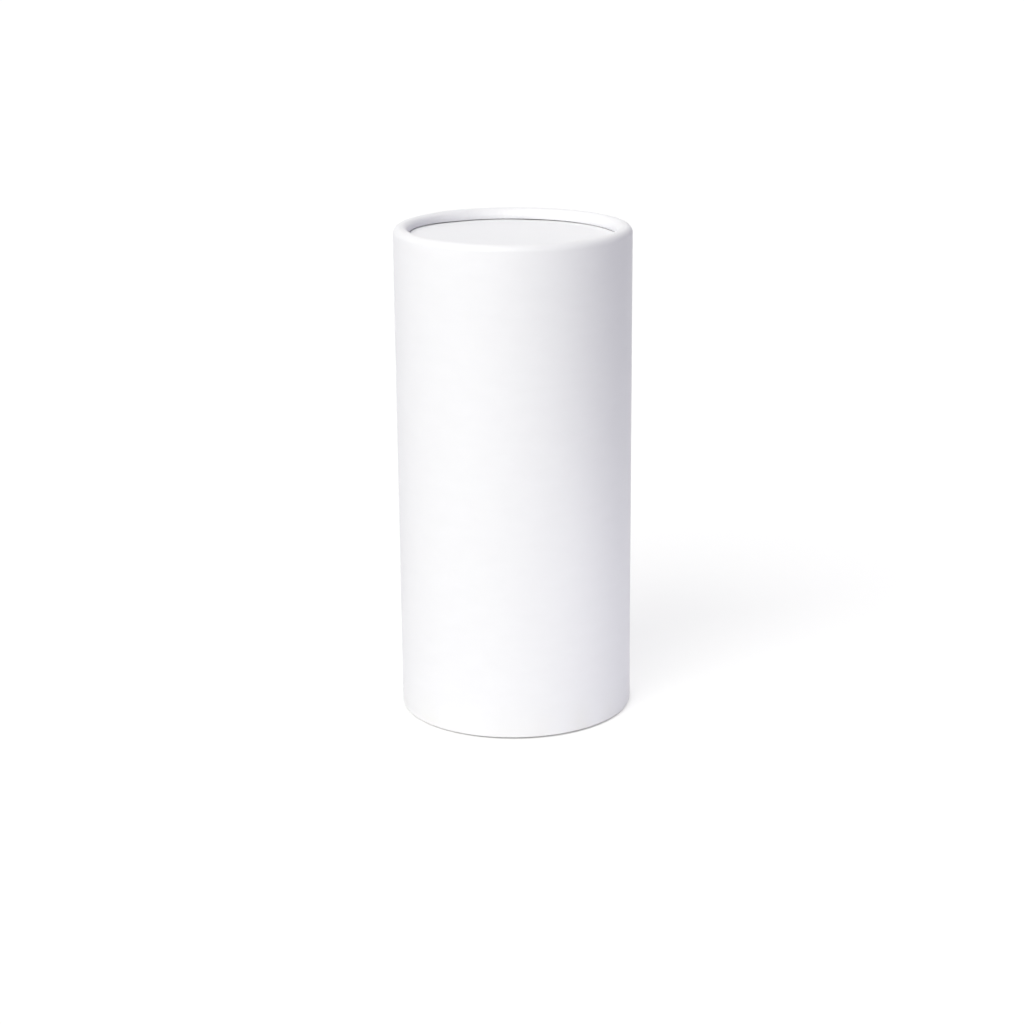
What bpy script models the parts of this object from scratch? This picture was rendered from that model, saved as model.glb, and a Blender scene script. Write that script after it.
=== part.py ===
"""Round two-piece paper box: a full-height lid that slides down over a base tube.

Both halves are made alike. A wound board tube in white cover paper is rolled inwards at one end,
over a flat disc. A thin liner tube, glued in from the open end, holds the disc against the roll.
The lid is the outer half and hides the whole base when it is closed. The base stands on its own
roll, so that the lid's cut edge clears the table.

Metres, +Z up. The origin is the middle of the foot, on the table, and +Z is the axis of the tubes.
"""

import math
from dataclasses import dataclass

import bpy

# Driving dimensions of the closed box
BOX_DIAMETER = 0.060
BOX_HEIGHT = 0.126
SKIRT_LIFT = 0.0005

# Layers of the lid: its wall from the outside in, then its disc from the roll inwards
LID_PAPER = 0.0002
LID_BOARD = 0.0010
LID_LINER = 0.0004
LID_DISC_FACING = 0.0002
LID_DISC_BOARD = 0.0015
LID_DISC_LINING = 0.0002

# Layers of the base, in the same order
BASE_PAPER = 0.0002
BASE_BOARD = 0.0010
BASE_LINER = 0.0004
BASE_DISC_FACING = 0.0002
BASE_DISC_BOARD = 0.0015
BASE_FLOOR_LINING = 0.0002

# The roll: the radius left open inside it, how far it is tucked past half a turn, and the flat
# that is pressed on the crest of each rim
ROLL_BORE_RADIUS = 0.00035
ROLL_TUCK = math.radians(30)
LID_CREST_FLAT = 0.0003
BASE_FOOT_FLAT = 0.0006

# Clearances: between layers that are glued together, between pieces that rest on each other, and
# on the radius where the lid slides over the base
GLUE_GAP = 0.0003
REST_GAP = 0.0003
SLIDE_GAP = 0.0003

# Steps of the round shapes, and how near two points of the turned seam are made one
TURN_STEPS = 64
CORNER_STEPS = 3
TUCK_STEPS = 4
SEAM_MERGE = 0.00001

# Angles in the plane of a profile, measured from straight outwards towards the crest
OUTWARDS = 0
CREST = math.pi / 2
INWARDS = math.pi
FULL_TURN = 2 * math.pi
SHARP_EDGE = math.radians(35)


@dataclass
class Half:
    """The sizes of one half of the box. Depths are measured from the crest of its rolled rim."""

    name: str
    radius: float
    rim: float
    cut_end: float
    paper: float
    board: float
    liner: float
    disc_facing: float
    disc_board: float
    disc_lining: float
    crest_flat: float

    def way(self):
        """1 where the rolled rim is the upper end, and -1 where the half stands on it."""
        return 1 if self.rim > self.cut_end else -1

    def height(self, depth):
        return self.rim - self.way() * depth

    def roll_radius(self):
        return ROLL_BORE_RADIUS + self.board + GLUE_GAP + self.paper

    def board_radius(self):
        return self.radius - self.paper - GLUE_GAP

    def disc_radius(self):
        return self.board_radius() - self.board - GLUE_GAP

    def liner_bore(self):
        return self.disc_radius() - self.liner

    def facing_depth(self):
        return self.roll_radius() * (1 + math.sin(ROLL_TUCK)) + REST_GAP

    def board_depth(self):
        return self.facing_depth() + self.disc_facing + GLUE_GAP

    def liner_depth(self):
        return self.board_depth() + self.disc_board + GLUE_GAP

    def inner_depth(self):
        """Depth of the face that what is inside the box comes up to."""
        return self.liner_depth() + self.disc_lining


def lid_half():
    """The lid, which reaches from the top of the box to just above the table."""
    return Half(
        name="lid",
        radius=BOX_DIAMETER / 2,
        rim=BOX_HEIGHT,
        cut_end=SKIRT_LIFT,
        paper=LID_PAPER,
        board=LID_BOARD,
        liner=LID_LINER,
        disc_facing=LID_DISC_FACING,
        disc_board=LID_DISC_BOARD,
        disc_lining=LID_DISC_LINING,
        crest_flat=LID_CREST_FLAT,
    )


def base_half(lid):
    """The base, which fits the lid's bore and carries the lid on its cut end."""
    return Half(
        name="base",
        radius=lid.liner_bore() - SLIDE_GAP,
        rim=0,
        cut_end=lid.height(lid.inner_depth() + REST_GAP),
        paper=BASE_PAPER,
        board=BASE_BOARD,
        liner=BASE_LINER,
        disc_facing=BASE_DISC_FACING,
        disc_board=BASE_DISC_BOARD,
        disc_lining=BASE_FLOOR_LINING,
        crest_flat=BASE_FOOT_FLAT,
    )


def clear_scene():
    """Removes what the file opened with."""
    for thing in list(bpy.data.objects):
        bpy.data.objects.remove(thing)


def new_collection(name):
    collection = bpy.data.collections.new(name)
    bpy.context.scene.collection.children.link(collection)
    return collection


def new_material(name, colour, roughness):
    """A dry material in one colour, such as paper or board."""
    material = bpy.data.materials.new(name)
    material.use_nodes = True
    shader = material.node_tree.nodes["Principled BSDF"]
    shader.inputs["Base Color"].default_value = (*colour, 1.0)
    shader.inputs["Roughness"].default_value = roughness
    shader.inputs["Metallic"].default_value = 0.0
    material.diffuse_color = (*colour, 1.0)
    return material


def axis_empty(half, collection):
    """The empty on the box's axis that the pieces of one half are parented to."""
    empty = bpy.data.objects.new(half.name + "_axis", None)
    collection.objects.link(empty)
    return empty


def finish_piece(piece, material, carrier, collection):
    """Gives a piece its material, its smooth shading, its carrier and its collection."""
    piece.data.materials.append(material)
    piece.data.shade_smooth()
    piece.data.set_sharp_from_angle(angle=SHARP_EDGE)
    for owner in list(piece.users_collection):
        owner.objects.unlink(piece)
    collection.objects.link(piece)
    piece.parent = carrier


def turned(name, profile, material, carrier, collection):
    """A ring turned from a closed profile of (radius, height) points, its outer side run down."""
    mesh = bpy.data.meshes.new(name)
    corners = [(radius, 0, height) for radius, height in profile]
    edges = [(i, (i + 1) % len(profile)) for i in range(len(profile))]
    mesh.from_pydata(corners, edges, [])
    piece = bpy.data.objects.new(name, mesh)
    screw = piece.modifiers.new("turn", "SCREW")
    screw.axis = "Z"
    screw.angle = FULL_TURN
    screw.steps = TURN_STEPS
    screw.render_steps = TURN_STEPS
    screw.use_merge_vertices = True
    screw.merge_threshold = SEAM_MERGE
    finish_piece(piece, material, carrier, collection)


def disc(name, half, radius, depth, thickness, material, carrier, collection):
    """A flat round disc whose outer face lies this deep under the crest of the rim."""
    bpy.ops.mesh.primitive_cylinder_add(
        vertices=TURN_STEPS,
        radius=radius,
        depth=thickness,
        location=(0, 0, half.height(depth + thickness / 2)),
    )
    piece = bpy.context.active_object
    piece.name = name
    piece.data.name = name
    finish_piece(piece, material, carrier, collection)


def arc(centre, bend, start, end, steps, way):
    """Points round a centre in the profile's plane, mirrored in height where way is -1."""
    points = []
    for i in range(steps + 1):
        angle = start + (end - start) * i / steps
        radius = centre[0] + bend * math.cos(angle)
        height = centre[1] + way * bend * math.sin(angle)
        points.append((radius, height))
    return points


def rolled_line(half, depth):
    """The line this deep under the outside of a rolled wall, from its cut end to its tucked tip."""
    bend = half.roll_radius() - depth
    outer_centre = (half.radius - half.roll_radius(), half.height(half.roll_radius()))
    inner_centre = (outer_centre[0] - half.crest_flat, outer_centre[1])
    line = [(half.radius - depth, half.cut_end)]
    line += arc(outer_centre, bend, OUTWARDS, CREST, CORNER_STEPS, half.way())
    line += arc(inner_centre, bend, CREST, INWARDS + ROLL_TUCK, TUCK_STEPS, half.way())
    return line


def rolled_layer(name, half, depth, thickness, material, carrier, collection):
    """One layer of the rolled wall, this deep under its outside."""
    profile = rolled_line(half, depth) + rolled_line(half, depth + thickness)[::-1]
    if half.way() > 0:
        profile.reverse()
    turned(name, profile, material, carrier, collection)


def liner_tube(name, half, material, carrier, collection):
    """The straight tube glued inside the wall, from the disc's inner side to the cut end."""
    ends = (half.height(half.liner_depth()), half.cut_end)
    outside, bore = half.disc_radius(), half.liner_bore()
    top, bottom = max(ends), min(ends)
    profile = [(outside, top), (outside, bottom), (bore, bottom), (bore, top)]
    turned(name, profile, material, carrier, collection)


def build_half(half, lining_name, materials, collection):
    """The six pieces of one half of the box."""
    carrier = axis_empty(half, collection)
    paper, board, liner = materials
    name = half.name
    under_paper = half.paper + GLUE_GAP
    lining_radius = half.liner_bore() - GLUE_GAP
    rolled_layer(name + "_wrap", half, 0, half.paper, paper, carrier, collection)
    rolled_layer(name + "_tube", half, under_paper, half.board, board, carrier, collection)
    liner_tube(name + "_liner", half, liner, carrier, collection)
    for piece, radius, depth, thickness, material in (
        (name + "_disc_facing", half.disc_radius(), half.facing_depth(), half.disc_facing, paper),
        (name + "_disc", half.disc_radius(), half.board_depth(), half.disc_board, board),
        (lining_name, lining_radius, half.liner_depth(), half.disc_lining, paper),
    ):
        disc(piece, half, radius, depth, thickness, material, carrier, collection)


def main():
    clear_scene()
    collection = new_collection("round_paper_box")
    materials = (
        new_material("white_cover_paper", (0.88, 0.88, 0.90), 0.5),
        new_material("wound_grey_board", (0.60, 0.58, 0.54), 0.9),
        new_material("white_lined_board", (0.84, 0.84, 0.84), 0.7),
    )
    lid = lid_half()
    base = base_half(lid)
    build_half(lid, "lid_disc_lining", materials, collection)
    build_half(base, "base_floor_lining", materials, collection)


main()
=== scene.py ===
# %% [markdown]
# Round paper box
#
# The real object is a tube box in two halves: a base tube that holds a bottle, and a lid tube that
# slides all the way down over it. Each half is wound board in white cover paper, rolled inwards at
# one end over a flat disc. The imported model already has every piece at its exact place, as plain
# turned solids, so this script loads it first and dresses it: a finer mesh for every piece, real
# paper and board, light, and a camera at the photograph's angle.

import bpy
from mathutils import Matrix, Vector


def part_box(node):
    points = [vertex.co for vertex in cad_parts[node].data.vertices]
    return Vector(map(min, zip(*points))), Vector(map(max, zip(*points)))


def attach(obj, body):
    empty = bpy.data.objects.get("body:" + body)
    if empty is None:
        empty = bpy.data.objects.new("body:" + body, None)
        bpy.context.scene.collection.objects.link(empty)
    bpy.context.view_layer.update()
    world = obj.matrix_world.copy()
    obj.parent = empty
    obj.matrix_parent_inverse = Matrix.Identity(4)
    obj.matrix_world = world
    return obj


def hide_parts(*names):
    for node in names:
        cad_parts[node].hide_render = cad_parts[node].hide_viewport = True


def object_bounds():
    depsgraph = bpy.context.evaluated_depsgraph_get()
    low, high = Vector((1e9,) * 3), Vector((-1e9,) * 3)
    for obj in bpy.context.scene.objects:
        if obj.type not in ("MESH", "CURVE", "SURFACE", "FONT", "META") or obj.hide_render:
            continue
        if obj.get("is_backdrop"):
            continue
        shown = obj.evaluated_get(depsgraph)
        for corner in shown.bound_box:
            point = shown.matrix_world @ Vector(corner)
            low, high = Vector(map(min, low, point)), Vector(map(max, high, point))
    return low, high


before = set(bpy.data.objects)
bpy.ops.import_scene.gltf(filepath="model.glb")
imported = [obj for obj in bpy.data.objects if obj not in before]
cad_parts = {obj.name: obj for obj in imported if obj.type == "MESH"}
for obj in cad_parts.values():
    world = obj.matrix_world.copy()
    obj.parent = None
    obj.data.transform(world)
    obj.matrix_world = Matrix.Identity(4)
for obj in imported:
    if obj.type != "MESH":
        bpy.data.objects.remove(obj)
cad_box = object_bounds()

# %% Units and tools
import math
from collections import namedtuple

import bmesh
import bpy
import numpy as np
from mathutils import Vector

MM = 0.001
QUARTER_TURN = math.pi / 2
HALF_TURN = math.pi
FULL_TURN = 2 * math.pi
print("everything is in metres, so one millimetre is", MM)

# %% [markdown]
# The camera
#
# The photograph looks slightly down at the box through a long lens. Its place could be found by
# eye, by turning a camera until the edges agree. Here it was fitted instead: a pinhole camera was
# moved until the drawn rims and sides lay on the ones in the picture. The picture was cropped from
# a larger one, which is why the lens is shifted a little to the side.

# %% Place the camera
CAMERA_PLACE = (15.72 * MM, -564.57 * MM, 219.17 * MM)
CAMERA_PITCH_DOWN = math.radians(16.581)
LENS_MM = 79.90
SENSOR_MM = 36
CROP_SHIFT = -0.0623
NEAREST_SEEN = 10 * MM
FARTHEST_SEEN = 50

lens = bpy.data.cameras.new("photo_lens")
lens.lens = LENS_MM
lens.sensor_width = SENSOR_MM
lens.shift_x = CROP_SHIFT
lens.clip_start = NEAREST_SEEN
lens.clip_end = FARTHEST_SEEN
camera = bpy.data.objects.new("photo_camera", lens)
camera.location = CAMERA_PLACE
camera.rotation_euler = (QUARTER_TURN - CAMERA_PITCH_DOWN, 0, 0)
bpy.context.scene.collection.objects.link(camera)
bpy.context.scene.camera = camera
print("camera looks down by", round(math.degrees(CAMERA_PITCH_DOWN), 1), "degrees")

# %% [markdown]
# The sizes of the two halves
#
# Both halves have the same make: a straight wall, a cut end, and a roll with a flat crest. Rather
# than write their sizes again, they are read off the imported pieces. The crest is the ring of
# points at the very end of the cover paper, and its outer edge tells how thick the roll is.

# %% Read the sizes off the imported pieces
SAME_HEIGHT = 1e-6


def radii_at(node, height):
    """Smallest and largest distance from the axis of a node's points at one height."""
    points = [v.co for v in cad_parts[node].data.vertices]
    radii = [math.hypot(p.x, p.y) for p in points if abs(p.z - height) < SAME_HEIGHT]
    return min(radii), max(radii)


def measure_half(name, way):
    """The sizes of one half. way is 1 where its roll is at the top, and -1 at the foot."""
    low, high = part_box(name + "_wrap")
    crest, cut = (high.z, low.z) if way > 0 else (low.z, high.z)
    lip, shoulder = radii_at(name + "_wrap", crest)
    bore, liner_outside = radii_at(name + "_liner", cut)
    return {
        "name": name,
        "way": way,
        "radius": high.x,
        "crest": crest,
        "cut": cut,
        "lip": lip,
        "shoulder": shoulder,
        "roll": high.x - shoulder,
        "bore": bore,
        "liner_outside": liner_outside,
    }


LID = measure_half("lid", 1)
BASE = measure_half("base", -1)
for half in (LID, BASE):
    print(half["name"], {k: round(v / MM, 3) for k, v in half.items() if k not in ("name", "way")})

# %% [markdown]
# The line of the rolled wall
#
# A rolled wall is one sheet that runs up from its cut end, bends over the shoulder, runs level
# across the crest and curls down inside to a tucked tip. In Blender such a ring could be a profile
# with a Screw modifier. The wall is not the same all round, though. The photograph shows the line
# where the lid's roll meets its disc a little higher on the left than on the right: the blank went
# into the rolling die at a slight lean, so the tip is tucked less on one side, and the disc, which
# was pushed up against it, leans the same way. Both are a little warped as well. At the foot the
# dark gap under the lid is wider on the right, because the tube was sawn slightly off square. A sum
# of a few cosines gives all of that: the first number is the mean, the second the lean, and the
# others the warp. So the line is a grid of points with outward normals, one row for each angle
# round the box, and every face of a layer is this line moved inwards along its normals, by a depth
# that may change from place to place.

# %% Draw the rolled line
RolledLine = namedtuple("RolledLine", "radius height out up run")
OUTSIDE_POINTS = (14, 10, 16)
LID |= {
    "tuck": np.radians([30.6, 17.5, -2.2, 2.9]),
    "disc": np.array([0.15, -0.45, 0.11, -0.09]) * MM,
    "saw": np.array([0, 0.14]) * MM,
}
BASE |= {"tuck": np.radians([30]), "disc": np.zeros(1), "saw": np.zeros(1)}


def lobed(sizes, angle, share=1):
    """A sum of cosines with 0, 1, 2 and more lobes, which fades towards the axis with share."""
    return sum(size * share**k * np.cos(k * angle) for k, size in enumerate(sizes))


def cut_level(half, angle):
    """Height of the sawn end of the wall at each angle."""
    return half["cut"] + lobed(half["saw"], angle)


def length_run(radius, height):
    """Length run along a profile, from its first point to each of its points."""
    steps = np.hypot(np.diff(radius), np.diff(height))
    return np.concatenate([[0], np.cumsum(steps)])


def rolled_line(half, angle, wall_points, shoulder_points, lip_points):
    """The line at each angle, with both parts of its outward normal and the length it has run."""
    way, roll = half["way"], half["roll"]
    tuck = lobed(half["tuck"], angle)
    straight = np.zeros((len(angle), wall_points - 1))
    shoulder = np.tile(np.linspace(0, QUARTER_TURN, shoulder_points), (len(angle), 1))
    lip = np.linspace(QUARTER_TURN, HALF_TURN + tuck, lip_points, axis=1)
    bend = np.concatenate([straight, shoulder, lip], axis=1)
    to_crest = wall_points - 1 + shoulder_points
    middle = np.repeat([half["shoulder"], half["lip"]], [to_crest, lip_points])
    out, up = np.cos(bend), way * np.sin(bend)
    centre = half["crest"] - way * roll
    radius = middle + roll * out
    height = centre + roll * up
    wall = np.linspace(cut_level(half, angle), centre, wall_points, axis=1)
    height[:, :wall_points - 1] = wall[:, :-1]
    run = length_run(radius.mean(axis=0), height.mean(axis=0))
    return RolledLine(radius, height, out, up, run)


line = rolled_line(LID, np.zeros(1), *OUTSIDE_POINTS)
print("the lid's rolled line is", round(line.run[-1] / MM, 1), "mm long, in", len(line.run), "points")

# %% [markdown]
# Waves that close on themselves
#
# Nothing made of paper is perfectly round or perfectly level. A smooth wave that meets itself
# after one turn is a sum of a few cosines with whole numbers of lobes. Their sizes and shifts come
# from a random generator with a fixed seed, so the box comes out the same each time.


# %% Make a closed wave
def closed_wave(angle, lobes, seed):
    """A smooth wave round the axis, between -1 and 1, the same for the same seed."""
    chance = np.random.default_rng(seed)
    wave = np.zeros_like(angle)
    for lobe in lobes:
        wave += chance.normal() * np.cos(lobe * angle + chance.uniform(0, FULL_TURN)) / lobe**0.5
    return wave / np.abs(wave).max()


def raised_wave(angle, lobes, seed):
    """The same wave, between 0 and 1."""
    return 0.5 + 0.5 * closed_wave(angle, lobes, seed)


def turned_from(place, angle):
    """How far round the axis each angle lies from a place, by half a turn at most either way."""
    return (angle - place + HALF_TURN) % FULL_TURN - HALF_TURN


eighths = np.linspace(0, FULL_TURN, 9)
print("a wave of 2, 3 and 5 lobes:", closed_wave(eighths, (2, 3, 5), seed=1).round(2))

# %% [markdown]
# From a grid to a mesh
#
# Each piece is a grid of points: rows go round the axis, and columns go round its profile. One
# function joins such a grid into quads. It also stores, for every corner, where that point lies on
# the flat sheet, in metres. A material that reads this map runs with the sheet round the wall and
# over the roll, as the grain of real paper does. A second map says how rubbed each point is. The
# rows needn't be evenly spaced, which lets a cut edge be as sharp as it really is.

# %% Join a grid into a mesh
SHARP_EDGE = math.radians(35)
WELD = 1e-7


def grid_piece(name, angle, radius, height, run, wear=None, flat_map=False):
    """A closed piece from grids of radius and height. run is the length along its profile.

    wear says how rubbed each point is. flat_map is for a round sheet that was never wound.
    """
    turns, points = radius.shape
    around = angle[:, None]
    corners = np.stack([radius * np.cos(around), radius * np.sin(around), height], axis=-1)
    i, j = np.meshgrid(np.arange(turns), np.arange(points), indexing="ij")
    quads = np.stack([
        i * points + j,
        (i + 1) % turns * points + j,
        (i + 1) % turns * points + (j + 1) % points,
        i * points + (j + 1) % points,
    ], axis=-1).reshape(-1, 4)

    if flat_map:
        sheet = corners.reshape(-1, 3)[quads][..., :2]
    else:
        along = np.append(angle - angle[0], FULL_TURN) * radius.max()
        across = np.append(run, 2 * run[-1] - run[-2])
        sheet = np.stack([
            np.stack([along[i + a], across[j + b]], axis=-1)
            for a, b in ((0, 0), (1, 0), (1, 1), (0, 1))
        ], axis=2).reshape(-1, 4, 2)

    # The sign of the profile's area tells which way it runs, and every face has to look outwards.
    mean_radius, mean_height = radius.mean(axis=0), height.mean(axis=0)
    area = np.sum(mean_radius * np.roll(mean_height, -1) - np.roll(mean_radius, -1) * mean_height)
    if area < 0:
        quads, sheet = quads[:, ::-1], sheet[:, ::-1]

    mesh = bpy.data.meshes.new(name)
    mesh.from_pydata(corners.reshape(-1, 3).tolist(), [], quads.tolist())
    mesh.uv_layers.new(name="sheet").data.foreach_set("uv", np.ascontiguousarray(sheet).ravel())
    worn = np.zeros(turns * points) if wear is None else wear.ravel()
    mesh.attributes.new("wear", "FLOAT", "POINT").data.foreach_set("value", worn)
    # A profile that reaches the axis has a whole ring of points in one place there.
    if radius.min() < WELD:
        welded = bmesh.new()
        welded.from_mesh(mesh)
        bmesh.ops.remove_doubles(welded, verts=welded.verts, dist=WELD)
        loose = [edge for edge in welded.edges if not edge.link_faces]
        bmesh.ops.delete(welded, geom=loose, context="EDGES")
        welded.to_mesh(mesh)
        welded.free()
    mesh.shade_smooth()
    mesh.set_sharp_from_angle(angle=SHARP_EDGE)
    piece = bpy.data.objects.new(name, mesh)
    bpy.context.scene.collection.objects.link(piece)
    print(f"{name}: {len(mesh.vertices)} points, {len(mesh.polygons)} faces")
    return piece


def dress(piece, half, node, material):
    """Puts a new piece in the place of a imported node, on the body of its half."""
    piece.data.materials.append(material)
    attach(piece, half["name"])
    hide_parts(node)


# %% [markdown]
# Colours and nodes
#
# A colour is picked as people see it, in sRGB, and written as a hex value. Blender's sockets hold
# linear light, so one function turns the first into the second. A second one adds a shader node,
# sets its fields and fills its inputs, with either a value or another node's output.


# %% Colour and node helpers
def linear(hex_value):
    """An sRGB hex value as the four linear numbers that a colour socket holds."""
    parts = [int(hex_value[k:k + 2], 16) / 255 for k in (1, 3, 5)]
    return (*[p / 12.92 if p <= 0.04045 else ((p + 0.055) / 1.055) ** 2.4 for p in parts], 1)


def add(tree, kind, fields=None, inputs=None):
    """Adds a node, sets its fields, and gives each input a value or links an output to it."""
    node = tree.nodes.new(kind)
    for field, value in (fields or {}).items():
        setattr(node, field, value)
    for socket, value in (inputs or {}).items():
        if isinstance(value, bpy.types.NodeSocket):
            tree.links.new(value, node.inputs[socket])
        else:
            node.inputs[socket].default_value = value
    return node


def start_material(name):
    """A new material whose node tree is empty."""
    material = bpy.data.materials.new(name)
    material.use_nodes = True
    material.node_tree.nodes.clear()
    return material, material.node_tree


def per_mm(size):
    """The scale of a noise whose blotches are about this many millimetres wide."""
    return 1 / (size * MM)


print("paper white in linear light:", [round(v, 3) for v in linear("#F2F2F4")])

# %% [markdown]
# The cover paper
#
# The outside is a white cover paper, coated on one side and calendered, which means pressed between
# polished rollers. That leaves it smooth, with a dull satin gloss: a broad, weak highlight, and no
# mirror image. Looked at closely it still has the cloudy look of paper, because its fibres lie
# thicker in some places, and a very fine tooth that runs with the sheet. The base colour mixes two
# whites by that cloudiness. Fibres are some 0.02 mm wide, which is far too fine for a picture of the
# whole box, so the tooth is drawn about ten times as coarse. Where the paper is handled, on the
# crest and along the cut edge, it is rubbed and a little less smooth.

# %% Make the cover paper
CLOUD_MM = 3.2
TOOTH_MM = 0.25
TOOTH_HEIGHT = 0.02 * MM
ALONG_THE_SHEET = 0.4
PAPER_IOR = 1.5
SATIN_LEAST, SATIN_MOST = 0.46, 0.56
RUBBED_ROUGHER = 0.3
# Nearly all of a noise lies between these two values.
NOISE_SPAN = {"From Min": 0.3, "From Max": 0.7}


def cover_paper():
    """The smooth white paper that covers both halves and all discs."""
    material, tree = start_material("calendered_white_cover_paper")
    sheet = add(tree, "ShaderNodeUVMap", {"uv_map": "sheet"}).outputs["UV"]
    drawn_out = add(tree, "ShaderNodeVectorMath", {"operation": "MULTIPLY"},
                    {0: sheet, 1: (ALONG_THE_SHEET, 1, 1)}).outputs["Vector"]
    cloud = add(tree, "ShaderNodeTexNoise", {"noise_dimensions": "2D"},
                {"Vector": drawn_out, "Scale": per_mm(CLOUD_MM), "Detail": 4, "Roughness": 0.6})
    tooth = add(tree, "ShaderNodeTexNoise", {"noise_dimensions": "2D"},
                {"Vector": drawn_out, "Scale": per_mm(TOOTH_MM), "Detail": 3, "Roughness": 0.7})
    wear = add(tree, "ShaderNodeAttribute", {"attribute_name": "wear"}).outputs["Fac"]
    patchy = add(tree, "ShaderNodeMath", {"operation": "MULTIPLY"},
                 {0: wear, 1: cloud.outputs["Fac"]}).outputs["Value"]
    clouded = add(tree, "ShaderNodeMix", {"data_type": "RGBA"},
                  {0: cloud.outputs["Fac"], 6: linear("#F0F0F3"), 7: linear("#F3F3F6")})
    rubbed = add(tree, "ShaderNodeMix", {"data_type": "RGBA"},
                 {0: patchy, 6: clouded.outputs[2], 7: linear("#ECEBEA")})
    satin = add(tree, "ShaderNodeMapRange", None,
                {"Value": cloud.outputs["Fac"], **NOISE_SPAN,
                 "To Min": SATIN_LEAST, "To Max": SATIN_MOST}).outputs["Result"]
    rough = add(tree, "ShaderNodeMath", {"operation": "MULTIPLY_ADD"},
                {0: patchy, 1: RUBBED_ROUGHER, 2: satin}).outputs["Value"]
    grain = add(tree, "ShaderNodeBump", None,
                {"Strength": 0.25, "Distance": TOOTH_HEIGHT, "Height": tooth.outputs["Fac"]})
    shader = add(tree, "ShaderNodeBsdfPrincipled", None,
                 {"Base Color": rubbed.outputs[2], "Roughness": rough, "IOR": PAPER_IOR,
                  "Metallic": 0, "Normal": grain.outputs["Normal"]})
    add(tree, "ShaderNodeOutputMaterial", None, {"Surface": shader.outputs["BSDF"]})
    return material


COVER_PAPER = cover_paper()
print("made", COVER_PAPER.name)

# %% [markdown]
# The white lining
#
# The tube glued inside each half is carton lined with plain white paper. It is not coated, so it is
# matt, a touch greyer and warmer than the outside, and its fibres show as short strokes that run
# round the tube, the way the strip was rolled up. The strokes are a noise that is stretched along
# the sheet, and they also lift the surface a little. The strongest of them show as darker flecks.
# Single fibres would be too fine to show here too, so the strokes are drawn about ten times as wide.

# %% Make the lining
STROKE_MM = 0.35
STROKE_STRETCH = 0.12
STROKE_HEIGHT = 0.03 * MM
LINING_CLOUD_MM = 5
FLECKED_FROM, FLECKED_FULLY = 0.55, 0.8
FLECK_TINT = 0.35
LINING_LEAST, LINING_MOST = 0.72, 0.86


def lining_paper():
    """The matt white inside of the lining tubes."""
    material, tree = start_material("uncoated_white_lined_carton")
    sheet = add(tree, "ShaderNodeUVMap", {"uv_map": "sheet"}).outputs["UV"]
    along = add(tree, "ShaderNodeVectorMath", {"operation": "MULTIPLY"},
                {0: sheet, 1: (STROKE_STRETCH, 1, 1)}).outputs["Vector"]
    strokes = add(tree, "ShaderNodeTexNoise", {"noise_dimensions": "2D"},
                  {"Vector": along, "Scale": per_mm(STROKE_MM), "Detail": 4, "Roughness": 0.65,
                   "Distortion": 0.4})
    cloud = add(tree, "ShaderNodeTexNoise", {"noise_dimensions": "2D"},
                {"Vector": sheet, "Scale": per_mm(LINING_CLOUD_MM), "Detail": 3})
    clouded = add(tree, "ShaderNodeMix", {"data_type": "RGBA"},
                  {0: cloud.outputs["Fac"], 6: linear("#E6E6E4"), 7: linear("#EFEFED")})
    flecked = add(tree, "ShaderNodeMapRange", None,
                  {"Value": strokes.outputs["Fac"], "From Min": FLECKED_FROM,
                   "From Max": FLECKED_FULLY, "To Max": FLECK_TINT}).outputs["Result"]
    colour = add(tree, "ShaderNodeMix", {"data_type": "RGBA"},
                 {0: flecked, 6: clouded.outputs[2], 7: linear("#DAD8D2")})
    rough = add(tree, "ShaderNodeMapRange", None,
                {"Value": strokes.outputs["Fac"], **NOISE_SPAN,
                 "To Min": LINING_LEAST, "To Max": LINING_MOST}).outputs["Result"]
    relief = add(tree, "ShaderNodeBump", None,
                 {"Strength": 0.5, "Distance": STROKE_HEIGHT, "Height": strokes.outputs["Fac"]})
    shader = add(tree, "ShaderNodeBsdfPrincipled", None,
                 {"Base Color": colour.outputs[2], "Roughness": rough, "IOR": PAPER_IOR,
                  "Metallic": 0, "Normal": relief.outputs["Normal"]})
    add(tree, "ShaderNodeOutputMaterial", None, {"Surface": shader.outputs["BSDF"]})
    return material


LINING = lining_paper()
print("made", LINING.name)

# %% [markdown]
# The wound board
#
# The walls and discs are grey board, pressed from recycled fibre. Where it is cut it is dull,
# warm grey and full of lighter and darker flecks, with no gloss at all. The flecks go right through
# the board and don't lie on a sheet, so this material reads plain object coordinates, as if every
# piece was cut out of one block. They are cells of a Voronoi pattern, squashed into short fibres,
# and only the cells with the highest random colours show.

# %% Make the wound board
PULP_MM = 0.8
PULP_HEIGHT = 0.06 * MM
FLECK_MM = 0.5
FLECK_SQUASH = (0.5, 0.5, 2)
DARK_FROM, DARK_TINT = 0.86, 0.7
PALE_FROM, PALE_TINT = 0.8, 0.6
BOARD_LEAST, BOARD_MOST = 0.85, 0.97


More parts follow.
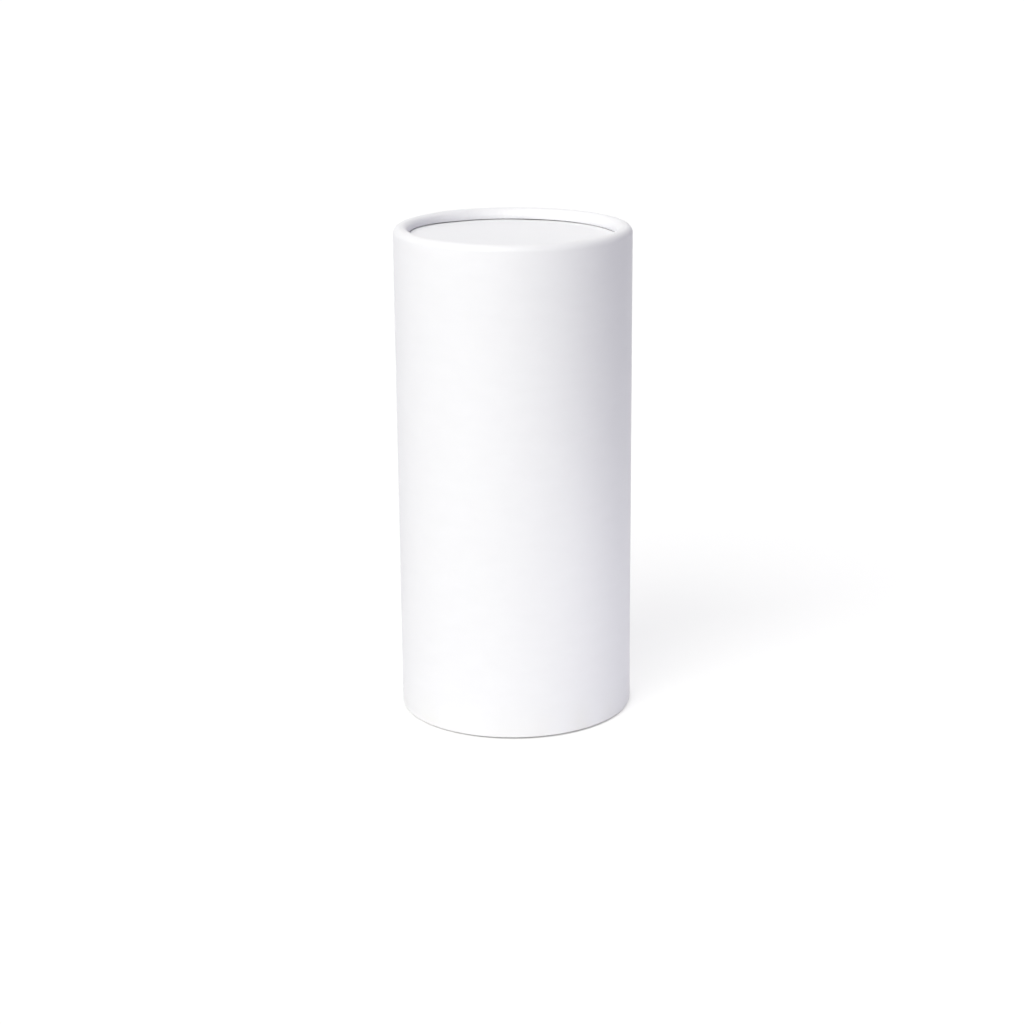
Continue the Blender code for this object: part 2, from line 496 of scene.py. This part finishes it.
def wound_board():
    """Grey board, as its cut edges show it."""
    material, tree = start_material("wound_grey_board")
    place = add(tree, "ShaderNodeTexCoord").outputs["Object"]
    pulp = add(tree, "ShaderNodeTexNoise", None,
               {"Vector": place, "Scale": per_mm(PULP_MM), "Detail": 6, "Roughness": 0.7})
    squashed = add(tree, "ShaderNodeVectorMath", {"operation": "MULTIPLY"},
                   {0: place, 1: FLECK_SQUASH}).outputs["Vector"]
    fibres = add(tree, "ShaderNodeTexVoronoi", {"feature": "F1"},
                 {"Vector": squashed, "Scale": per_mm(FLECK_MM), "Randomness": 1})
    grey = add(tree, "ShaderNodeMix", {"data_type": "RGBA"},
               {0: pulp.outputs["Fac"], 6: linear("#BDB8AE"), 7: linear("#D6D3CC")})
    tone = add(tree, "ShaderNodeSeparateColor", None, {"Color": fibres.outputs["Color"]})
    dark = add(tree, "ShaderNodeMapRange", None,
               {"Value": tone.outputs["Red"], "From Min": DARK_FROM,
                "To Max": DARK_TINT}).outputs["Result"]
    pale = add(tree, "ShaderNodeMapRange", None,
               {"Value": tone.outputs["Green"], "From Min": PALE_FROM,
                "To Max": PALE_TINT}).outputs["Result"]
    with_dark = add(tree, "ShaderNodeMix", {"data_type": "RGBA"},
                    {0: dark, 6: grey.outputs[2], 7: linear("#97907F")})
    colour = add(tree, "ShaderNodeMix", {"data_type": "RGBA"},
                 {0: pale, 6: with_dark.outputs[2], 7: linear("#E6E4DF")})
    rough = add(tree, "ShaderNodeMapRange", None,
                {"Value": pulp.outputs["Fac"], **NOISE_SPAN,
                 "To Min": BOARD_LEAST, "To Max": BOARD_MOST}).outputs["Result"]
    relief = add(tree, "ShaderNodeBump", None,
                 {"Strength": 0.7, "Distance": PULP_HEIGHT, "Height": pulp.outputs["Fac"]})
    shader = add(tree, "ShaderNodeBsdfPrincipled", None,
                 {"Base Color": colour.outputs[2], "Roughness": rough, "IOR": PAPER_IOR,
                  "Metallic": 0, "Normal": relief.outputs["Normal"]})
    add(tree, "ShaderNodeOutputMaterial", None, {"Surface": shader.outputs["BSDF"]})
    return material


BOARD = wound_board()
print("made", BOARD.name)

# %% [markdown]
# The cover paper on its wall
#
# The sheet is wound once round the wall, and its end is glued over its start in a lap about 7 mm
# wide. That leaves one straight cut edge down the back of the box, and a soft slope where the sheet
# climbs over its own beginning. Where the wall is rolled inwards the paper has too little room, so
# it gathers into many fine pleats, which grow from nothing at the crest to a few hundredths of a
# millimetre at the tip. All of this is in the mesh: the depth under the rolled line is a grid, and
# each of these habits of paper adds its share to it.

# %% Lap, pleats and waves of the paper
PAPER = 0.2 * MM
LAP_STEP = 0.1 * MM
CREST_SLACK = 0.06 * MM
LAP_WIDTH = 7 * MM
LAP_SLOPE = 2.5 * MM
CUT_EDGE = 0.01 * MM
PLEAT_PITCH = 1.25 * MM
PLEAT_DEPTH = 0.045 * MM
PLEAT_WANDER = 0.025
SHALLOWEST_PLEAT = 0.1
PLEAT_START = 0.1
OUT_OF_ROUND = 0.03 * MM
WALL_WAVE = 0.02 * MM
# Each wave on the wall: its fewest lobes round the box, and how often it turns on the way up.
WALL_WAVES = ((3, 1), (5, 2), (8, 1.5), (11, 3))


def smooth(value):
    """Turns a straight rise from 0 to 1 into one with soft ends."""
    value = np.clip(value, 0, 1)
    return value * value * (3 - 2 * value)


def sheet_angles(half, turns, seam):
    """Angles round the wall that start at the lap's cut edge and end just short of it."""
    edge = CUT_EDGE / half["radius"]
    return seam + np.append(np.linspace(0, FULL_TURN, turns, endpoint=False), FULL_TURN - edge)


def paper_depth(half, line, angle, seed):
    """How deep the paper's outside lies under the rolled line, at each angle and point."""
    from_edge = (angle - angle[0]) * half["radius"]
    lap = 1 - smooth((from_edge - LAP_WIDTH) / LAP_SLOPE)
    crest = np.abs(line.up)
    step = LAP_STEP - (LAP_STEP - CREST_SLACK) * crest
    depth = CREST_SLACK * crest - lap[:, None] * step

    pleats = round(FULL_TURN * half["lip"] / PLEAT_PITCH)
    phase = pleats * (angle + PLEAT_WANDER * closed_wave(angle, range(5, 30, 3), seed))
    unevenness = raised_wave(angle, range(7, 40, 4), seed + 1)
    strength = SHALLOWEST_PLEAT + (1 - SHALLOWEST_PLEAT) * unevenness
    valley = (0.5 + 0.5 * np.cos(phase)) ** 2 * strength
    past_crest = smooth(PLEAT_START - (1 - PLEAT_START) * line.out)
    inside = past_crest * (line.run > line.run[-1] / 2)
    depth = depth + PLEAT_DEPTH * valley[:, None] * inside

    sway = raised_wave(angle, (2, 3, 4, 7), seed + 2)
    depth = depth + OUT_OF_ROUND * sway[:, None]
    way_up = line.run / line.run[-1] * FULL_TURN
    for n, (lobes, bands) in enumerate(WALL_WAVES):
        around = closed_wave(angle, (lobes, lobes + 1), seed + 3 + n)
        banded = 0.5 + 0.5 * np.outer(around, np.cos(bands * way_up + n))
        depth = depth + WALL_WAVE / (n + 1) * banded
    return depth


print("the lid's paper gathers into", round(FULL_TURN * LID["lip"] / PLEAT_PITCH), "pleats")

# %% Make both cover papers
PAPER_TURNS = 1440
BACK_POINTS = (3, 4, 6)
FRAY = 0.03 * MM
CREST_RUB = 0.5
CREST_RUB_POWER = 4
EDGE_RUB = 1.2 * MM
LID_SEAM, BASE_SEAM = 118, 64


def cover_piece(half, name, seam, seed):
    """The cover paper of one half: face and back of the sheet, joined at both cut edges."""
    angle = sheet_angles(half, PAPER_TURNS, math.radians(seam))
    face = rolled_line(half, angle, *OUTSIDE_POINTS)
    depth = paper_depth(half, face, angle, seed)
    face_radius = face.radius - depth * face.out
    face_height = face.height - depth * face.up
    fray = FRAY * raised_wave(angle, range(9, 70, 4), seed + 9)
    face_height[:, 0] += half["way"] * fray
    back = rolled_line(half, angle, *BACK_POINTS)
    back_radius = (back.radius - PAPER * back.out)[:, ::-1]
    back_height = (back.height - PAPER * back.up)[:, ::-1]
    radius = np.concatenate([face_radius, back_radius], axis=1)
    height = np.concatenate([face_height, back_height], axis=1)
    run = np.concatenate([face.run, 2 * face.run[-1] - back.run[::-1] + PAPER])

    on_crest = CREST_RUB * np.abs(face.up) ** CREST_RUB_POWER
    near_cut = np.exp(-face.run / EDGE_RUB)
    rub = raised_wave(angle, range(3, 25, 2), seed + 8)
    face_wear = rub[:, None] * np.maximum(on_crest, near_cut)
    wear = np.concatenate([face_wear, np.zeros_like(back_radius)], axis=1)
    return grid_piece(name, angle, radius, height, run, wear)


lid_paper = cover_piece(LID, "lid_cover_paper", LID_SEAM, seed=11)
base_paper = cover_piece(BASE, "base_cover_paper", BASE_SEAM, seed=31)
dress(lid_paper, LID, "lid_wrap", COVER_PAPER)
dress(base_paper, BASE, "base_wrap", COVER_PAPER)

# %% [markdown]
# The wound board of the walls
#
# The wall is wound from four plies of grey board, glued one over the other. It shows only at its
# cut end, where the saw leaves the plies as rings with fine grooves between them, and where each
# ply was wound edge to edge there is a small notch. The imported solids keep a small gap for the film
# of glue between layers. On a real box the layers touch, so here the board fills that gap.

# %% Make both board walls
PLIES = 4
GROOVE = 0.05 * MM
RAGGED = 0.02 * MM
NOTCH_WIDTH = 0.9 * MM
NOTCH_DEPTH = 0.25 * MM
BOARD_THICK = 1 * MM
GLUE_GAP = 0.3 * MM
TOUCH = 0.01 * MM
BOARD_TURNS = 720
BOARD_POINTS = (4, 6, 10)
# The sawn face of a ply, outwards: the share of its width, and the share of the groove's depth.
PLY_FACE = ((0.04, 0.4), (0.15, 0), (0.5, 0), (0.85, 0), (0.96, 0.4), (1, 1))


def board_piece(half, name, seed):
    """The board wall of one half, from under its paper to the lining tube."""
    way = half["way"]
    chance = np.random.default_rng(seed)
    angle = np.linspace(0, FULL_TURN, BOARD_TURNS, endpoint=False)
    line = rolled_line(half, angle, *BOARD_POINTS)
    outer_depth = PAPER + TOUCH
    wall_depth = half["radius"] - half["liner_outside"] - GLUE_GAP / 2
    tube_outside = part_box(half["name"] + "_tube")[1].x
    roll_depth = half["radius"] - tube_outside + BOARD_THICK
    on_wall = np.arange(len(line.run)) < BOARD_POINTS[0]
    inner_depth = np.where(on_wall, wall_depth, roll_depth)

    end_radii, end_heights = [], []
    width = (wall_depth - outer_depth) / PLIES
    for ply in range(PLIES):
        start = half["radius"] - wall_depth + ply * width
        ragged = RAGGED * (1 + closed_wave(angle, range(5, 90, 7), seed + ply))
        seam = chance.uniform(0, FULL_TURN)
        away = np.abs(turned_from(seam, angle)) * half["radius"]
        notch = NOTCH_DEPTH * (away < NOTCH_WIDTH / 2)
        for share, sunk in PLY_FACE:
            end_radii.append(start + share * width)
            end_heights.append(cut_level(half, angle) + way * (ragged + notch + GROOVE * sunk))
    # The last of these points is where the outer side starts, so the profile has it already.
    end_radius = np.tile(end_radii[:-1], (BOARD_TURNS, 1))
    end_height = np.array(end_heights[:-1]).T

    out_radius = line.radius - outer_depth * line.out
    out_height = line.height - outer_depth * line.up
    in_radius = (line.radius - inner_depth * line.out)[:, ::-1]
    in_height = (line.height - inner_depth * line.up)[:, ::-1]
    out_height[:, 0] += way * GROOVE
    in_height[:, -1] += way * GROOVE
    radius = np.concatenate([out_radius, in_radius, end_radius], axis=1)
    height = np.concatenate([out_height, in_height, end_height], axis=1)
    return grid_piece(name, angle, radius, height, length_run(radius[0], height[0]))


lid_board = board_piece(LID, "lid_board_wall", seed=41)
base_board = board_piece(BASE, "base_board_wall", seed=51)
dress(lid_board, LID, "lid_tube", BOARD)
dress(base_board, BASE, "base_tube", BOARD)

# %% [markdown]
# The lining tubes
#
# A strip of white-lined carton is rolled up, slid in from the open end and glued, which traps the
# disc against the roll. Its two ends meet edge to edge, and the joint shows as a fine straight line
# down the inside. The strip springs out against the wall unevenly, so its inside has soft waves,
# and its cut edge is a little fuzzy. Its inner end follows the disc, which is not quite flat: where
# the dark line under the lid's roll is wider in the photograph, the edge of the disc has a shallow
# dent, as if it was pushed home with a stick.

# %% Make both lining tubes
JOINT_WIDTH = 0.3 * MM
JOINT_DEPTH = 0.15 * MM
JOINT_SIDES = (0, 0.02, 0.98, 1)
LID_JOINT, BASE_JOINT = 250, 76
LINER_WAVE = 0.02 * MM
# Each wave of a lining: its fewest lobes round the tube, and the radians it has on the way up.
LINER_WAVES = ((3, 4), (5, 7), (8, 10))
LINER_TURNS = 720
LINER_ROWS = 12
SOFT_EDGE = 0.04 * MM
FUZZ = 0.02 * MM
# A dent fades towards the axis with this power of the radius.
DENT_FADING = 6
# Each dent: its place and width in degrees, and its depth.
LID["dents"] = ((127, 13, 0.11 * MM), (80, 9, 0.07 * MM), (158, 9, -0.05 * MM))
BASE["dents"] = ()


def disc_lift(half, angle, share):
    """How far a half's disc lies off its packed place, by angle and by share of its radius."""
    share = np.array(share)
    lift = lobed(half["disc"], angle[:, None], share)
    for place, width, depth in half["dents"]:
        away = turned_from(math.radians(place), angle)
        dent = depth * np.exp(-(away / math.radians(width)) ** 2)
        lift = lift - np.outer(dent, share**DENT_FADING)
    return lift


def liner_piece(half, name, lining_face, seam, seed):
    """The lining tube of one half, from its cut end to the paper on the disc's inner face."""
    way = half["way"]
    joint_turn = JOINT_WIDTH / half["bore"]
    joint = np.array(JOINT_SIDES) * joint_turn
    rest = np.linspace(joint_turn, FULL_TURN, LINER_TURNS, endpoint=False)[1:]
    angle = math.radians(seam) + np.concatenate([joint, rest])
    outer = half["liner_outside"] + GLUE_GAP / 2 - TOUCH
    end = lining_face - way * TOUCH + disc_lift(half, angle, [1])[:, 0]
    cut = cut_level(half, angle)

    wave = np.zeros((len(angle), LINER_ROWS))
    for n, (lobes, radians_up) in enumerate(LINER_WAVES):
        around = raised_wave(angle, (lobes, lobes + 2), seed + n)
        way_up = np.linspace(0, radians_up, LINER_ROWS)
        wave += np.outer(around, 0.5 + 0.5 * np.cos(way_up + n)) / len(LINER_WAVES)
    bore = half["bore"] + LINER_WAVE * wave
    bore[1:3] += JOINT_DEPTH
    level = np.linspace(cut, end, LINER_ROWS, axis=1)
    fuzz = FUZZ * raised_wave(angle, range(11, 120, 9), seed + 7)
    level[:, 0] += way * (SOFT_EDGE + fuzz)
    lip_radius = np.stack([bore[:, 0] + SOFT_EDGE, np.full(len(angle), outer - SOFT_EDGE)], axis=1)
    lip_level = np.stack([cut + way * fuzz] * 2, axis=1)
    outer_radius = np.full((len(angle), 2), outer)
    outer_level = np.stack([cut + way * 2 * SOFT_EDGE, end], axis=1)
    radius = np.concatenate([bore[:, ::-1], lip_radius, outer_radius], axis=1)
    height = np.concatenate([level[:, ::-1], lip_level, outer_level], axis=1)
    off_joint = len(joint) + 1
    run = length_run(radius[off_joint], height[off_joint])
    return grid_piece(name, angle, radius, height, run)


lid_lining_low, lid_lining_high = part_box("lid_disc_lining")
floor_low, floor_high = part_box("base_floor_lining")
lid_liner = liner_piece(LID, "lid_liner_tube", lid_lining_low.z, LID_JOINT, seed=61)
base_liner = liner_piece(BASE, "base_liner_tube", floor_high.z, BASE_JOINT, seed=71)
dress(lid_liner, LID, "lid_liner", LINING)
dress(base_liner, BASE, "base_liner", LINING)

# %% [markdown]
# The board discs
#
# Each disc is punched out of thick grey board. The punch rounds the edge that it meets first and
# tears the other one, and between them the edge shows the plies of the board, with a fine groove
# where each two meet. A cylinder with a bevel would do for the rounded edge. A grid of rings can
# also have the grooves and the torn edge, which is a little ragged all the way round.

# %% Make the board discs
DISC_TURNS = 360
EDGE_ROOM = 0.1 * MM
PUNCHED = 0.08 * MM
TORN = 0.1 * MM


def board_disc(half, name, front, back, seed):
    """The punched board between its two papers. front is the height of its side at the roll."""
    angle = np.linspace(0, FULL_TURN, DISC_TURNS, endpoint=False)
    edge = half["liner_outside"] + EDGE_ROOM
    thick = abs(front - back)
    profile = [(0, 0), (edge / 2, 0), (edge - 4 * PUNCHED, 0), (edge - PUNCHED, PUNCHED / 4),
               (edge - PUNCHED / 4, PUNCHED)]
    for ply in range(1, PLIES):
        meeting = thick * ply / PLIES
        profile += [(edge, meeting - GROOVE), (edge - GROOVE, meeting), (edge, meeting + GROOVE)]
    profile += [(edge, thick - TORN), (edge - TORN, thick), (edge / 2, thick), (0, thick)]
    radius, depth = np.array(profile).T
    radius = np.tile(radius, (DISC_TURNS, 1))
    torn_corner = slice(-4, -2)
    ragged = TORN / 2 * (1 + closed_wave(angle, range(9, 120, 7), seed))
    radius[:, torn_corner] -= ragged[:, None]
    lift = disc_lift(half, angle, radius[0] / edge)
    height = front - math.copysign(1, front - back) * depth + lift
    return grid_piece(name, angle, radius, height, length_run(radius[0], depth))


lid_face_low, lid_face_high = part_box("lid_disc_facing")
base_face_low, base_face_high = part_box("base_disc_facing")
# The height of each disc's side at the roll, and of its side at the lining tube.
lid_sides = lid_face_low.z - TOUCH, lid_lining_high.z + TOUCH
base_sides = base_face_high.z + TOUCH, floor_low.z - TOUCH
lid_disc = board_disc(LID, "lid_board_disc", *lid_sides, seed=101)
base_disc = board_disc(BASE, "base_board_disc", *base_sides, seed=111)
dress(lid_disc, LID, "lid_disc", BOARD)
dress(base_disc, BASE, "base_disc", BOARD)

# %% [markdown]
# The papers on the discs
#
# Each board disc has white paper on both faces. Outside, the paper lies just under the roll, and a
# fine dark line shows where they part. Inside, the paper reaches under the end of the lining tube,
# which holds it in place. Paper that dries on board pulls it into a very shallow dish, far less
# than a ruler shows, and that still changes how the light runs over the disc.

# %% Make the papers on the discs
DISC_RINGS = 22
TURNED_OVER = 0.03 * MM
RIPPLE = 0.02 * MM
COCKLE = 0.008 * MM


def disc_paper(half, front, back, dish, seed):
    """Grid of a round sheet whose shown face is at the height front. dish sinks its middle."""
    angle = np.linspace(0, FULL_TURN, DISC_TURNS, endpoint=False)
    edge = half["liner_outside"] + EDGE_ROOM
    rings = edge * np.sin(np.linspace(0, QUARTER_TURN, DISC_RINGS))
    reach = np.append(rings[:-1], [edge - TURNED_OVER, edge])
    share = reach / edge
    ripple = RIPPLE * np.outer(closed_wave(angle, (2, 3, 5), seed), share**2)
    cockle = COCKLE * np.outer(closed_wave(angle, (7, 9, 13), seed + 1), share**4)
    lift = disc_lift(half, angle, share)
    face = front - dish * (1 - share**2) + lift + ripple + cockle
    face[:, -1] -= math.copysign(TURNED_OVER, front - back)
    radius = np.tile(np.append(reach, [edge, 0]), (DISC_TURNS, 1))
    height = np.concatenate([face, back + lift[:, [-1, 0]]], axis=1)
    return angle, radius, height, length_run(radius[0], height[0])


# Each sheet: its name, half and node, the heights of its face and its back, and its dish.
SHEETS = (
    ("lid_top_paper", LID, "lid_disc_facing", lid_face_high.z, lid_face_low.z, 0.03 * MM),
    ("lid_ceiling_paper", LID, "lid_disc_lining", lid_lining_low.z, lid_lining_high.z, -0.05 * MM),
    ("base_bottom_paper", BASE, "base_disc_facing", base_face_low.z, base_face_high.z, -0.05 * MM),
    ("base_floor_paper", BASE, "base_floor_lining", floor_high.z, floor_low.z, 0.05 * MM),
)
for n, (name, half, node, front, back, dish) in enumerate(SHEETS):
    sheet = grid_piece(name, *disc_paper(half, front, back, dish, seed=81 + 5 * n), flat_map=True)
    dress(sheet, half, node, COVER_PAPER)

# %% [markdown]
# The floor and the air
#
# The box stands on a plain white sweep of paper, so bright that it has no edge or horizon. Turning
# up the lamps until the floor burns out would wash out the box as well. Instead, a ray that comes
# straight from the camera sees a darker paper with an even glow added, which comes to white where
# the lamps reach it and keeps a light shadow where they don't. So does a ray that is mirrored or
# bent on its way. Every other ray sees a plain pale paper, a little darker than the box, which
# throws soft light back at it. An even glow would also fill the thin dark gap between the table and
# the lower edge of the lid. So it fades where something hangs close over the floor, which an ambient
# occlusion node measures with short rays. It would be simpler to end the glow at the edge of the
# box, but then a grey ring would show on the floor once the lid is lifted.

# %% Make the floor and the air
FLOOR_SIDE = 12
FLOOR_GRAIN_MM = 1.5
FLOOR_SHOWN = "#989898"
FLOOR_GLOW = 0.76
COVER_REACH = 4 * MM
COVER_RAYS = 4
COVERED, OPEN = 0.05, 0.4
GLOW_UNDER_BOX = 0.1
AIR_LEVEL = 0.2
AIR_TINT = "#DCD3FF"


def seen_directly(tree):
    """1 for rays that show the surroundings as they are: from the camera, mirrored or bent."""
    path = add(tree, "ShaderNodeLightPath")
    mirrored = add(tree, "ShaderNodeMath", {"operation": "MAXIMUM"},
                   {0: path.outputs["Is Camera Ray"], 1: path.outputs["Is Glossy Ray"]})
    bent = add(tree, "ShaderNodeMath", {"operation": "MAXIMUM"},
               {0: mirrored.outputs["Value"], 1: path.outputs["Is Transmission Ray"]})
    return bent.outputs["Value"]


floor_material, tree = start_material("matt_white_paper_sweep")
place = add(tree, "ShaderNodeTexCoord").outputs["Object"]
fine = add(tree, "ShaderNodeTexNoise", None,
           {"Vector": place, "Scale": per_mm(FLOOR_GRAIN_MM), "Detail": 3})
white = add(tree, "ShaderNodeMix", {"data_type": "RGBA"},
            {0: fine.outputs["Fac"], 6: linear("#E2E2E4"), 7: linear("#E5E5E7")})
open_sky = add(tree, "ShaderNodeAmbientOcclusion", {"samples": COVER_RAYS},
               {"Distance": COVER_REACH}).outputs["AO"]
in_the_open = add(tree, "ShaderNodeMapRange", None,
                  {"Value": open_sky, "From Min": COVERED, "From Max": OPEN,
                   "To Min": GLOW_UNDER_BOX}).outputs["Result"]
seen = add(tree, "ShaderNodeMath", {"operation": "MULTIPLY"},
           {0: seen_directly(tree), 1: in_the_open}).outputs["Value"]
shown = add(tree, "ShaderNodeMix", {"data_type": "RGBA"},
            {0: seen, 6: white.outputs[2], 7: linear(FLOOR_SHOWN)})
matt = add(tree, "ShaderNodeBsdfDiffuse", None, {"Color": shown.outputs[2]})
lift = add(tree, "ShaderNodeMath", {"operation": "MULTIPLY"}, {0: seen, 1: FLOOR_GLOW})
glow = add(tree, "ShaderNodeEmission", None,
           {"Color": (1, 1, 1, 1), "Strength": lift.outputs["Value"]})
both = add(tree, "ShaderNodeAddShader", None,
           {0: matt.outputs["BSDF"], 1: glow.outputs["Emission"]})
add(tree, "ShaderNodeOutputMaterial", None, {"Surface": both.outputs["Shader"]})

reach = FLOOR_SIDE / 2
corners = [(x * reach, y * reach, 0) for x, y in ((-1, -1), (1, -1), (1, 1), (-1, 1))]
floor_mesh = bpy.data.meshes.new("white_floor")
floor_mesh.from_pydata(corners, [], [(0, 1, 2, 3)])
floor_mesh.materials.append(floor_material)
floor = bpy.data.objects.new("white_floor", floor_mesh)
bpy.context.scene.collection.objects.link(floor)
floor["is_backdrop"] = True

air = bpy.data.worlds.new("studio_air")
air.use_nodes = True
air.node_tree.nodes.clear()
tree = air.node_tree
dim = add(tree, "ShaderNodeBackground", None, {"Color": linear(AIR_TINT), "Strength": AIR_LEVEL})
bright = add(tree, "ShaderNodeBackground", None, {"Color": (1, 1, 1, 1), "Strength": 1})
choice = add(tree, "ShaderNodeMixShader", None,
             {0: seen_directly(tree), 1: dim.outputs["Background"],
              2: bright.outputs["Background"]})
add(tree, "ShaderNodeOutputWorld", None, {"Surface": choice.outputs["Shader"]})
bpy.context.scene.world = air
print("floor", FLOOR_SIDE, "m wide, air at", AIR_LEVEL)

# %% [markdown]
# The lamps
#
# In the photograph the wall turns slowly from light on the left to grey on the right, with no hard
# edge, so the main light is a large softbox to the left of the camera. A lamp close by would light
# the far floor less than the near floor. A sun lamp with a wide disc gives the same soft shade and
# lights the whole sweep evenly, like a softbox that is big and far away. A weaker and wider one
# behind and above the box lights the disc and the inside of the roll, as a pale wall does. The
# shaded side is lighter at the foot than at the top, which is what a small white card does that
# stands on the table near the right of the box. Both far lamps are a touch warm and the air is
# lilac, so the lit side is plain white and the shaded side has the lilac grey of the photograph.

# %% Place the lamps
def aimed(name, lamp, place, target):
    """An object that holds a lamp at a place and turns it to a target."""
    holder = bpy.data.objects.new(name, lamp)
    holder.location = place
    holder.rotation_mode = "QUATERNION"
    holder.rotation_quaternion = (Vector(place) - Vector(target)).to_track_quat("Z", "Y")
    bpy.context.scene.collection.objects.link(holder)
    return holder


def direction(azimuth, elevation):
    """A unit vector away from the box. Azimuth 0 is the camera's side, and 90 is its right."""
    side, rise = math.radians(azimuth), math.radians(elevation)
    level = math.cos(rise)
    return Vector((math.sin(side) * level, -math.cos(side) * level, math.sin(rise)))


def far_softbox(name, azimuth, elevation, width, strength, colour):
    """A sun lamp whose disc is this many degrees wide."""
    lamp = bpy.data.lights.new(name, "SUN")
    lamp.energy = strength
    lamp.angle = math.radians(width)
    lamp.color = linear(colour)[:3]
    aimed(name, lamp, direction(azimuth, elevation), (0, 0, 0))
    print(name, "from", azimuth, "and", elevation, "degrees,", width, "degrees wide")


WARM = "#FEFFF5"
far_softbox("key_softbox", azimuth=-32, elevation=40, width=45, strength=2.82, colour=WARM)
far_softbox("pale_back_wall", azimuth=165, elevation=48, width=80, strength=0.7, colour=WARM)

CARD_AZIMUTH = 61
CARD_DISTANCE = 130 * MM
CARD_HEIGHT = 12 * MM
CARD_SIZE = (120 * MM, 20 * MM)
CARD_WATTS = 0.0252
card_light = bpy.data.lights.new("white_card", "AREA")
card_light.shape = "RECTANGLE"
card_light.size, card_light.size_y = CARD_SIZE
card_light.energy = CARD_WATTS
card_light.color = linear("#FEFEFF")[:3]
card_place = direction(CARD_AZIMUTH, 0) * CARD_DISTANCE + Vector((0, 0, CARD_HEIGHT))
white_card = aimed("white_card", card_light, card_place, (0, 0, CARD_HEIGHT))
white_card.visible_camera = False
print("white card at", [round(v / MM) for v in card_place], "mm")

# %% [markdown]
# How the picture is developed
#
# The plain Standard view shows a colour about as it was written, so the white of the paper stays
# the white that was picked.

# %% View settings, sizes and the end
bpy.context.scene.view_settings.view_transform = "Standard"
made_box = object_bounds()
for name, box in (("packed model", cad_box), ("dressed model", made_box)):
    print(name, "spans", [round((b - a) / MM, 2) for a, b in zip(*box)], "mm")
